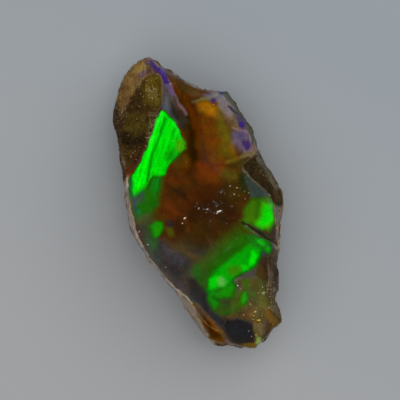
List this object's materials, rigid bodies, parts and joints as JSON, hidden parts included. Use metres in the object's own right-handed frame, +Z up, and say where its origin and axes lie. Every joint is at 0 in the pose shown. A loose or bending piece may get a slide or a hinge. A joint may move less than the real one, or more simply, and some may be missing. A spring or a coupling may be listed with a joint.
{
  "type": "rough opal",
  "caption": "Rough precious opal: a broken nodule lying on its back, with a glassy amber window that flashes green and a dull granular crust on its sides and back.",
  "frame": {"origin": "centre of the bounding box, at the height of the flat break that the stone rests on", "axes": "+Y along the stone towards the end with the sharp pale ridge, +X to the broad crusted side, +Z up out of the glassy window"},
  "size_m": [0.0234, 0.0464, 0.0137],
  "materials": {
    "opal": "glassy where broken, dull and granular on the crust"
  },
  "bodies": {
    "root": {"rough_opal": "opal"}
  },
  "joints": []
}
